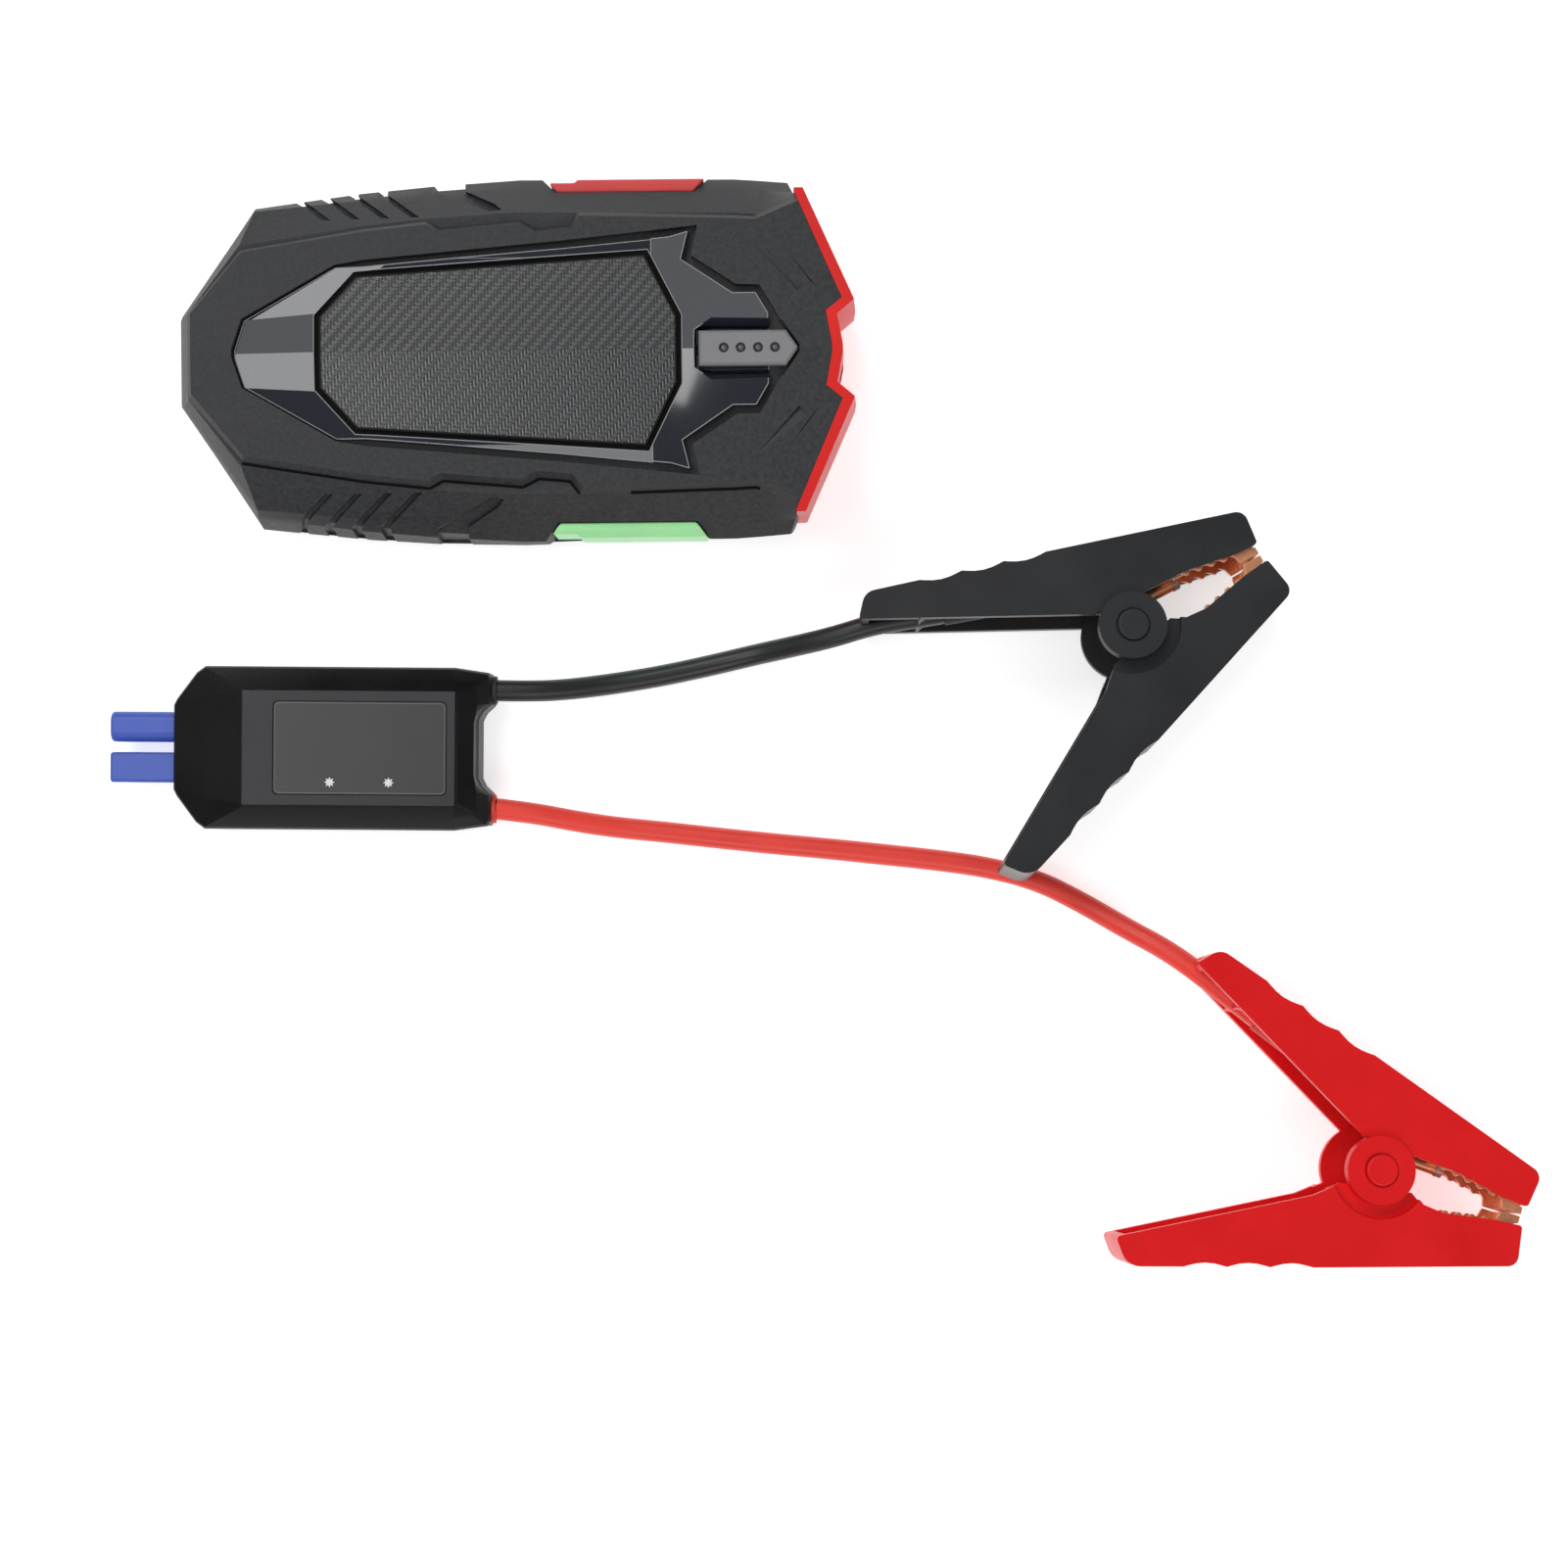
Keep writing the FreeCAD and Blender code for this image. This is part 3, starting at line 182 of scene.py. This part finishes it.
def make_finishes():
    """One material for each slot of the record, and the few that only dress details use."""
    return {
        "shell_black": finish("shell_black", (0.036, 0.037, 0.039), 0.55, specular=0.35, mottle=0.34,
                              mottle_scale=900, grain=0.8, grain_scale=1500, rough_spread=0.08),
        "gloss_black": finish("gloss_black", (0.008, 0.011, 0.019), 0.06, coat=0.7, coat_rough=0.03,
                              rough_spread=0.02),
        # light grey that paints the highlight on the gloss frame's rounded edges
        "painted_highlight_grey": finish("painted_highlight_grey", (0.34, 0.345, 0.36), 0.2, mottle=0.05),
        "ring_black": finish("ring_black", (0.010, 0.010, 0.011), 0.25, mottle=0.05),
        # near-black dull colour for pieces that paint shade: the gap round the plate and the plateau's foot
        "painted_shade_black": finish("painted_shade_black", (0.004, 0.004, 0.004), 0.7, specular=0.1),
        "plate_black": finish("plate_black", (0.006, 0.006, 0.006), 0.5, specular=0.2),
        "carbon_film": finish("carbon_film", (0.016, 0.017, 0.018), 0.24, mottle=0.1, specular=0.7),
        # tows running along X: same fibre as carbon_film, with a lighter base colour that paints the sheen
        # these tows catch
        "carbon_sheen_tow": finish("carbon_sheen_tow", (0.072, 0.074, 0.076), 0.27, mottle=0.1, specular=0.75),
        "bumper_red": finish("bumper_red", (0.80, 0.012, 0.009), 0.40, specular=0.35, mottle=0.05,
                             grain=0.2, rough_spread=0.06),
        "cover_red": finish("cover_red", (0.74, 0.052, 0.052), 0.5, mottle=0.05, grain=0.15, sheen=0.1),
        "cover_green": finish("cover_green", (0.42, 0.96, 0.42), 0.42, mottle=0.05, grain=0.15,
                              sheen=0.1),
        "button_grey": finish("button_grey", (0.255, 0.255, 0.26), 0.34, mottle=0.06, grain=0.15,
                              rough_spread=0.05),
        "light_window": finish("light_window", (0.11, 0.11, 0.12), 0.2, coat=0.5),
        "lens_clear": finish("lens_clear", (0.9, 0.92, 0.94), 0.05, transmission=0.9, rough_spread=0.02),
        "reflector_chrome": finish("reflector_chrome", (0.8, 0.8, 0.82), 0.12, metallic=1.0,
                                   rough_spread=0.04),
        "board_green": finish("board_green", (0.02, 0.14, 0.05), 0.35, mottle=0.15),
        "socket_steel": finish("socket_steel", (0.62, 0.62, 0.63), 0.3, metallic=1.0, rough_spread=0.08),
        "tongue_black": finish("tongue_black", (0.02, 0.02, 0.02), 0.45, mottle=0.1),
        "cell_pouch": finish("cell_pouch", (0.62, 0.63, 0.65), 0.4, metallic=0.6, mottle=0.08),
        "foam_grey": finish("foam_grey", (0.15, 0.15, 0.15), 0.9, mottle=0.1, grain=0.8,
                            grain_scale=1500),
        "copper": finish("copper", (0.92, 0.40, 0.21), 0.34, metallic=0.72, mottle=0.14,
                         rough_spread=0.1, mottle_scale=220, grain=0.12, grain_scale=900),
        "screw_steel": finish("screw_steel", (0.55, 0.55, 0.57), 0.28, metallic=1.0, mottle=0.1,
                              rough_spread=0.1),
        "foot_rubber": finish("foot_rubber", (0.025, 0.025, 0.025), 0.75, mottle=0.1, grain=0.4),
        "plug_blue": finish("plug_blue", (0.055, 0.112, 0.54), 0.4, mottle=0.08, grain=0.2,
                            rough_spread=0.06),
        "box_black": finish("box_black", (0.005, 0.005, 0.006), 0.42, specular=0.2, mottle=0.14,
                            grain=0.5, rough_spread=0.08),
        "panel_grey": finish("panel_grey", (0.042, 0.042, 0.045), 0.45, specular=0.3, mottle=0.08,
                             grain=0.3),
        "label_grey": finish("label_grey", (0.048, 0.046, 0.045), 0.36, specular=0.35, mottle=0.05,
                             coat=0.1, coat_rough=0.3),
        "label_rim": finish("label_rim", (0.16, 0.16, 0.16), 0.3, mottle=0.05),
        "indicator_white": finish("indicator_white", (0.85, 0.85, 0.85), 0.35, mottle=0.03),
        "relay_black": finish("relay_black", (0.02, 0.02, 0.02), 0.5, mottle=0.1),
        "gland_black": finish("gland_black", (0.02, 0.02, 0.022), 0.6, mottle=0.1, grain=0.2),
        "gland_red": finish("gland_red", (0.70, 0.05, 0.04), 0.6, mottle=0.08, grain=0.2),
        "cable_black": finish("cable_black", (0.010, 0.010, 0.011), 0.40, mottle=0.12, rough_spread=0.1,
                              sheen=0.05),
        "cable_red": finish("cable_red", (0.92, 0.055, 0.036), 0.42, mottle=0.06, rough_spread=0.1),
        "clamp_black": finish("clamp_black", (0.024, 0.025, 0.027), 0.38, specular=0.32, mottle=0.12,
                              grain=0.25, rough_spread=0.06),
        "clamp_red": finish("clamp_red", (0.84, 0.006, 0.008), 0.38, specular=0.32, mottle=0.06,
                            grain=0.25, rough_spread=0.06),
        "sleeve_clear": finish("sleeve_clear", (0.92, 0.90, 0.88), 0.12, transmission=0.85,
                               rough_spread=0.04),
        "spring_steel": finish("spring_steel", (0.7, 0.7, 0.72), 0.2, metallic=1.0, rough_spread=0.06),
    }


# ---------------------------------------------------------------- CAD nodes
# How wide each node's edges are rounded; a node that isn't named here has SMALL_EDGE.
EDGE = {"top_shell": 0.55, "bottom_shell": 0.6, "end_bumper": 1.2, "gloss_frame": 0.35, "power_button": 0.3,
        "red_cover": 0.5, "green_cover": 0.5, "box_top": 0.5, "box_bottom": 0.6, "box_panel": 0.4,
        "label_plate": 0.12, "plug_housing": 0.6, "black_handle": 1.2, "black_lever": 1.2,
        "red_handle": 1.2, "red_lever": 1.2, "black_fixed_jaw": 0.22, "black_moving_jaw": 0.22,
        "red_fixed_jaw": 0.22, "red_moving_jaw": 0.22}
SMALL_EDGE = 0.12
EDGE_SEGMENTS = 3
EDGE_ANGLE = 14                 # degrees; shallower creases aren't rounded
FLAT_ANGLE = 0.6
WELD_REACH = 0.002
CREASED = ("gloss_frame",)      # nodes whose facets stay flat, with crisp creases between them
DRESS = {"carbon_plate": "plate_black", "black_lug": "gland_black", "red_lug": "gland_red"}


def soften(piece, width, smooth):
    """Rounds a CAD node's edges, by modifiers only."""
    for polygon in piece.data.polygons:
        polygon.use_smooth = smooth
    weld = piece.modifiers.new("weld", "WELD")
    weld.merge_threshold = WELD_REACH * MM
    flats = piece.modifiers.new("flats", "DECIMATE")
    flats.decimate_type = "DISSOLVE"
    flats.angle_limit = math.radians(FLAT_ANGLE)
    bevel = piece.modifiers.new("bevel", "BEVEL")
    bevel.width = width
    bevel.segments = EDGE_SEGMENTS
    bevel.limit_method = "ANGLE"
    bevel.angle_limit = math.radians(EDGE_ANGLE)
    normals = piece.modifiers.new("normals", "WEIGHTED_NORMAL")
    normals.keep_sharp = True


def dress_nodes(finishes):
    """Gives every CAD node its material and its rounded edges."""
    for entry in frame["record"]["subparts"]:
        node = entry["node"]
        piece = NODES[node]
        piece.data.materials.clear()
        piece.data.materials.append(finishes[DRESS.get(node, entry["material_slot"])])
        soften(piece, EDGE.get(node, SMALL_EDGE) * MM, node not in CREASED)


# ---------------------------------------------------------------- pieces
def place_piece(name, data, body, material):
    """Links mesh or curve data into the scene as a piece that rides on a body."""
    data.materials.append(material)
    piece = bpy.data.objects.new(name, data)
    bpy.context.scene.collection.objects.link(piece)
    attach(piece, body)
    return piece


def new_piece(name, mesh, body, material):
    """Turns a bmesh into a piece."""
    data = bpy.data.meshes.new(name)
    mesh.to_mesh(data)
    mesh.free()
    return place_piece(name, data, body, material)


def new_curve(name, diameter, resolution):
    """Empty curve with a round section, its diameter in millimetres."""
    data = bpy.data.curves.new(name, "CURVE")
    data.dimensions = "3D"
    data.bevel_depth = diameter / 2 * MM
    data.bevel_resolution = resolution
    data.use_fill_caps = True
    return data


def add_spline(data, kind, spots):
    spline = data.splines.new(kind)
    spline.points.add(len(spots) - 1)
    for point, spot in zip(spline.points, spots):
        point.co = (*spot, 1)
    return spline


# ---------------------------------------------------------------- cables
CABLE_D = 5.4
BLACK_ROUTE = [(-6.95, -81.41, 9.2), (2, -81.7, 9.0), (11, -81.2, 6.6), (21, -79.9, 3.4), (33, -78.1, 2.8),
               (46, -75.5, 2.8), (57.5, -72.9, 4.0), (67.6, -71.0, 8.0), (77.6, -69.0, 12.6),
               (87.6, -66.0, 13.9), (96.6, -64.65, 13.8), (105.2, -63.3, 13.65)]
RED_ROUTE = [(-7.47, -111.20, 9.2), (1.5, -112.3, 9.0), (10.5, -114.2, 6.6), (21, -116.1, 3.4),
             (34, -117.5, 2.8), (48, -119.2, 2.8), (62, -120.8, 2.8), (76, -122.2, 2.8), (90, -123.8, 2.8),
             (103, -125.3, 2.8), (116, -127.2, 2.8), (129, -130.6, 2.8), (140.6, -136.6, 3.4),
             (151.2, -143.0, 6.2), (161.0, -148.4, 9.8), (169.5, -154.7, 11.6), (176.3, -160.3, 12.0),
             (183.1, -165.65, 12.45)]
CABLES = {"black": (BLACK_ROUTE, 0.1165), "red": (RED_ROUTE, 0.2043)}     # each length is in metres


def cable(colour, finishes):
    """Flexible cable from the lead box to the crimp in a clamp's fixed half."""
    route, length = CABLES[colour]
    name = colour + "_wire"
    slot = "cable_" + colour
    data = new_curve(name, CABLE_D, 8)
    spline = add_spline(data, "NURBS", [[x * MM for x in spot] for spot in route])
    spline.order_u = 3
    spline.use_endpoint_u = True
    spline.resolution_u = 10
    piece = place_piece(name, data, "lead", finishes[slot])
    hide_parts(colour + "_cable")


# ---------------------------------------------------------------- carbon weave
ROOF_SLOPE = 0.075
TOW = (0.775, 0.92)             # width of a tow along X and along Y
TOW_STEPS = 3                   # mesh cells across one tow
WEAVE_RISE = 0.11
WEAVE_SINK = 0.01
WEAVE_MARGIN = 0.5
NUDGE = 1e-6                    # keeps a vertex on a tow's border out of rounding trouble
SIDE_AREA = 1.5                 # smaller triangles of the plate's sides aren't used as cutting planes
SHADE_STRIP_WIDTH = 1.35              # how far the painted shade strip shows round the plate
SHADE_STRIP_DEPTH = 0.75
SHADE_STRIP_REACH = 4                 # sheet beyond the plate's box, before it is cut


def weave_height(x, y):
    """Height over the film of a 2/2 twill, and which of the two tows is on top."""
    column, row = math.floor(x / TOW[0]), math.floor(y / TOW[1])
    over = (column - row) % 4 < 2
    part = x / TOW[0] - column if over else y / TOW[1] - row
    return WEAVE_RISE * (1 - (2 * part - 1) ** 2), over


def carbon_weave(finishes):
    """Woven relief on the plate, cut to the plate's own outline a little inside its edge."""
    low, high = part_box("carbon_plate")
    mesh = bmesh.new()
    columns = int((high[0] - low[0]) / MM / TOW[0] * TOW_STEPS)
    rows = int((high[1] - low[1]) / MM / TOW[1] * TOW_STEPS)
    first_x = math.floor(low[0] / MM / TOW[0]) * TOW[0]
    first_y = math.floor(low[1] / MM / TOW[1]) * TOW[1]
    grid = []
    for j in range(rows + TOW_STEPS):
        y = first_y + j * TOW[1] / TOW_STEPS
        line = []
        for i in range(columns + TOW_STEPS):
            x = first_x + i * TOW[0] / TOW_STEPS
            height = weave_height(x + NUDGE, y + NUDGE)[0]
            z = high[2] / MM - ROOF_SLOPE * abs(y) + height - WEAVE_SINK
            line.append(mesh.verts.new((x * MM, y * MM, z * MM)))
        grid.append(line)
    for j, (near, far) in enumerate(zip(grid, grid[1:])):
        for i in range(len(near) - 1):
            face = mesh.faces.new((near[i], near[i + 1], far[i + 1], far[i]))
            middle = (first_x + (i + 0.5) * TOW[0] / TOW_STEPS, first_y + (j + 0.5) * TOW[1] / TOW_STEPS)
            # tows running along X get the lighter material, which paints their sheen
            face.material_index = 0 if weave_height(*middle)[1] else 1
            face.smooth = True
    clip_to_plate(mesh, -WEAVE_MARGIN)
    piece = new_piece("carbon_weave", mesh, "pack", finishes["carbon_film"])
    piece.data.materials.append(finishes["carbon_sheen_tow"])


def clip_to_plate(mesh, grow):
    """Cuts a sheet off along the plate's own sides, moved outwards by some millimetres."""
    for polygon in NODES["carbon_plate"].data.polygons:
        if abs(polygon.normal.z) < 0.1 and polygon.area > SIDE_AREA * MM * MM:
            edge = polygon.center + polygon.normal * (grow * MM)
            everything = mesh.verts[:] + mesh.edges[:] + mesh.faces[:]
            bmesh.ops.bisect_plane(mesh, geom=everything, plane_co=edge, plane_no=polygon.normal,
                                   clear_outer=True)


def plate_shade_strip(finishes):
    """Dull dark sheet that paints the shade in the gap all round the plate."""
    low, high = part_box("carbon_plate")
    reach = SHADE_STRIP_REACH * MM
    mesh = bmesh.new()
    for side in (1, -1):
        ends = [(x, y) for x in (low[0] - reach, high[0] + reach) for y in (0.0, side * (high[1] + reach))]
        corners = [(x, y, high[2] - ROOF_SLOPE * abs(y) - SHADE_STRIP_DEPTH * MM) for x, y in ends]
        verts = [mesh.verts.new(corner) for corner in corners]
        mesh.faces.new((verts[0], verts[2], verts[3], verts[1]))
    clip_to_plate(mesh, SHADE_STRIP_WIDTH)
    new_piece("plate_shade_strip", mesh, "pack", finishes["painted_shade_black"])


# ---------------------------------------------------------------- button rings
LED_X = (51.5, 55.6, 59.8, 63.9)
RING = (0.62, 1.28)             # inner and outer radius of the dark ring round each light
LATHE_STEPS = 28


def button_rings(finishes):
    """Raised dark ring and a small lens for each charge light."""
    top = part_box("power_button")[1][2] / MM
    mesh = bmesh.new()
    profile = [(RING[0], top - 0.25), (RING[0] + 0.05, top - 0.05), (RING[0] + 0.2, top - 0.01),
               (RING[1] - 0.2, top - 0.01), (RING[1] - 0.05, top - 0.05), (RING[1], top - 0.25)]
    for x in LED_X:
        lathe(mesh, profile, Vector((x, 0, 0)))
    new_piece("light_rings", mesh, "button", finishes["ring_black"])
    mesh = bmesh.new()
    dome = [(0.0, top - 0.04), (0.3, top - 0.07), (0.5, top - 0.13), (RING[0], top - 0.25)]
    for x in LED_X:
        lathe(mesh, dome, Vector((x, 0, 0)))
    new_piece("light_lenses", mesh, "button", finishes["light_window"])


def lathe(mesh, profile, middle):
    """Turned surface from (radius, height) pairs round a vertical line, all in millimetres."""
    rings = []
    for radius, height in profile:
        if radius == 0:
            rings.append([mesh.verts.new((middle.x * MM, middle.y * MM, height * MM))])
            continue
        ring = []
        for k in range(LATHE_STEPS):
            turn = 2 * math.pi * k / LATHE_STEPS
            spot = Vector((middle.x + radius * math.cos(turn), middle.y + radius * math.sin(turn), height))
            ring.append(mesh.verts.new(spot * MM))
        rings.append(ring)
    for inner, outer in zip(rings, rings[1:]):
        for k in range(LATHE_STEPS):
            after = (k + 1) % LATHE_STEPS
            corners = [inner[0]] if len(inner) == 1 else [inner[k], inner[after]]
            face = mesh.faces.new(corners + [outer[after], outer[k]])
            face.smooth = True


# ---------------------------------------------------------------- clamp details
LEAN = {"black": ((-1.0, 0.0, 0.0), 7.0, 29.3), "red": ((-0.95, 0.31, 0.0), 7.2, -18.3)}
WIRE_D = 1.9
COIL_R = 4.25
COIL_HALF = 3.65
COIL_TURNS = 3
TURN_STEPS = 24
LEG_END = (-11.0, 12.6)         # short enough to clear both grips when the clamp is squeezed


def clamp_frame(colour):
    """Where a clamp's own frame lies: its origin at the pin's middle, U along the jaws, W along the pin."""
    joints = {joint["name"]: joint for joint in frame["record"]["behaviour"]["joints"]}
    lean, tilt, heading = LEAN[colour]
    tilted = Matrix.Rotation(math.radians(tilt), 4, Vector(lean))
    turned = Matrix.Rotation(math.radians(heading), 4, "Z")
    return Matrix.Translation(Vector(joints[colour + "_clamp_squeeze"]["pos_m"])) @ (tilted @ turned)


def torsion_spring(colour, finishes):
    """Close-wound coil round the pin, with a leg that runs off it towards each grip."""
    place = clamp_frame(colour)
    leg_x, leg_y = LEG_END
    start = math.atan2(leg_y, leg_x) - math.acos(COIL_R / math.hypot(leg_x, leg_y))
    sweep = 2 * start + 2 * math.pi * COIL_TURNS
    count = TURN_STEPS * COIL_TURNS
    path = [(leg_x, leg_y, COIL_HALF)]
    for k in range(count + 1):
        turn = start - sweep * k / count
        height = COIL_HALF - 2 * COIL_HALF * k / count
        path.append((COIL_R * math.cos(turn), COIL_R * math.sin(turn), height))
    path.append((leg_x, -leg_y, -COIL_HALF))
    name = colour + "_coil"
    data = new_curve(name, WIRE_D, 6)
    spline = add_spline(data, "POLY", [place @ (Vector(spot) * MM) for spot in path])
    spline.use_smooth = True
    piece = place_piece(name, data, "lead", finishes["spring_steel"])
    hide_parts(colour + "_spring")


# ---------------------------------------------------------------- fine lines along CAD edges: painted highlight and painted shade
# light rods along the gloss frame's top edges: a painted highlight standing in for the shine of its rounded
# edge
HIGHLIGHT_LINE_D = 0.26
HIGHLIGHT_LINE_LIFT = -0.02
# dark rod along the plateau's foot on the -Y side: painted shade standing in for the shadowed step wall
SHADE_LINE_D = 1.0
SHADE_LINE_LIFT = -0.1
ROOF_Z = 30                     # only edges above this height are traced
SHADE_LINE_Y = -20                    # the painted shade line is only on the side beyond this line


def is_rim(top, side, middle):
    """An edge between an upward face and a wall."""
    return top.z > 0.9 and abs(side.z) < 0.35 and middle.z > ROOF_Z * MM


def is_plateau_foot(ledge, slope, middle):
    """An edge between the level ledge and the plateau's slope, on the -Y side."""
    level = ledge.z > 0.99 and abs(ledge.y) < 0.03
    facing = slope.y < -0.3 and 0.35 < slope.z < 0.62
    return level and facing and middle.y < SHADE_LINE_Y * MM and middle.z > ROOF_Z * MM


def edge_lines(name, node, wanted, diameter, lift, material):
    """Thin rods along the edges of a node whose two faces pass the test."""
    mesh = bmesh.new()
    mesh.from_mesh(NODES[node].data)
    mesh.transform(NODES[node].matrix_world)
    bmesh.ops.remove_doubles(mesh, verts=mesh.verts[:], dist=WELD_REACH * MM)
    mesh.normal_update()
    data = new_curve(name, diameter, 2)
    rise = Vector((0, 0, lift * MM))
    for edge in mesh.edges:
        if len(edge.link_faces) != 2:
            continue
        one, two = (face.normal for face in edge.link_faces)
        ends = [vert.co for vert in edge.verts]
        middle = (ends[0] + ends[1]) / 2
        if wanted(one, two, middle) or wanted(two, one, middle):
            add_spline(data, "POLY", [end + rise for end in ends])
    mesh.free()
    place_piece(name, data, "pack", material)


# ---------------------------------------------------------------- label border
BOX_TURN = -1.0                 # degrees
LABEL_HALF = (21.2, 11.3)
LABEL_CORNER = 1.2
CORNER_STEPS = 5
LABEL_BEAD = ((0.0, -0.15), (-0.03, 0.04), (-0.14, 0.08), (-0.25, 0.04), (-0.3, -0.15))     # out, up


def label_border(finishes):
    """Raised rim round the printed film on the lead box."""
    low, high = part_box("label_plate")
    middle = Vector(((low[0] + high[0]) / 2 / MM, (low[1] + high[1]) / 2 / MM, high[2] / MM))
    turn = Matrix.Rotation(math.radians(BOX_TURN), 3, "Z")
    straight_x = LABEL_HALF[0] - LABEL_CORNER
    straight_y = LABEL_HALF[1] - LABEL_CORNER
    mesh = bmesh.new()
    rings = []
    for reach, lift in LABEL_BEAD:
        radius = LABEL_CORNER + reach
        ring = []
        for quadrant, (sign_x, sign_y) in enumerate(((1, 1), (-1, 1), (-1, -1), (1, -1))):
            for k in range(CORNER_STEPS + 1):
                angle = math.pi / 2 * (quadrant + k / CORNER_STEPS)
                x = straight_x * sign_x + radius * math.cos(angle)
                y = straight_y * sign_y + radius * math.sin(angle)
                ring.append(mesh.verts.new((middle + turn @ Vector((x, y, lift))) * MM))
        rings.append(ring)
    for inner, outer in zip(rings, rings[1:]):
        for k in range(len(inner)):
            after = (k + 1) % len(inner)
            face = mesh.faces.new((inner[k], inner[after], outer[after], outer[k]))
            face.smooth = True
    new_piece("label_rim", mesh, "lead", finishes["label_rim"])


def main():
    finishes = make_finishes()
    build_camera()
    build_stage()
    build_light()
    dress_nodes(finishes)
    for colour in CABLES:
        cable(colour, finishes)
    carbon_weave(finishes)
    plate_shade_strip(finishes)
    # painted highlight along the gloss frame's edges
    edge_lines("frame_highlight_line", "gloss_frame", is_rim, HIGHLIGHT_LINE_D, HIGHLIGHT_LINE_LIFT, finishes["painted_highlight_grey"])
    # painted shade line along the foot of the plateau's -Y slope
    edge_lines("plateau_shade_line", "top_shell", is_plateau_foot, SHADE_LINE_D, SHADE_LINE_LIFT, finishes["painted_shade_black"])
    button_rings(finishes)
    label_border(finishes)
    for colour in ("black", "red"):
        torsion_spring(colour, finishes)


main()
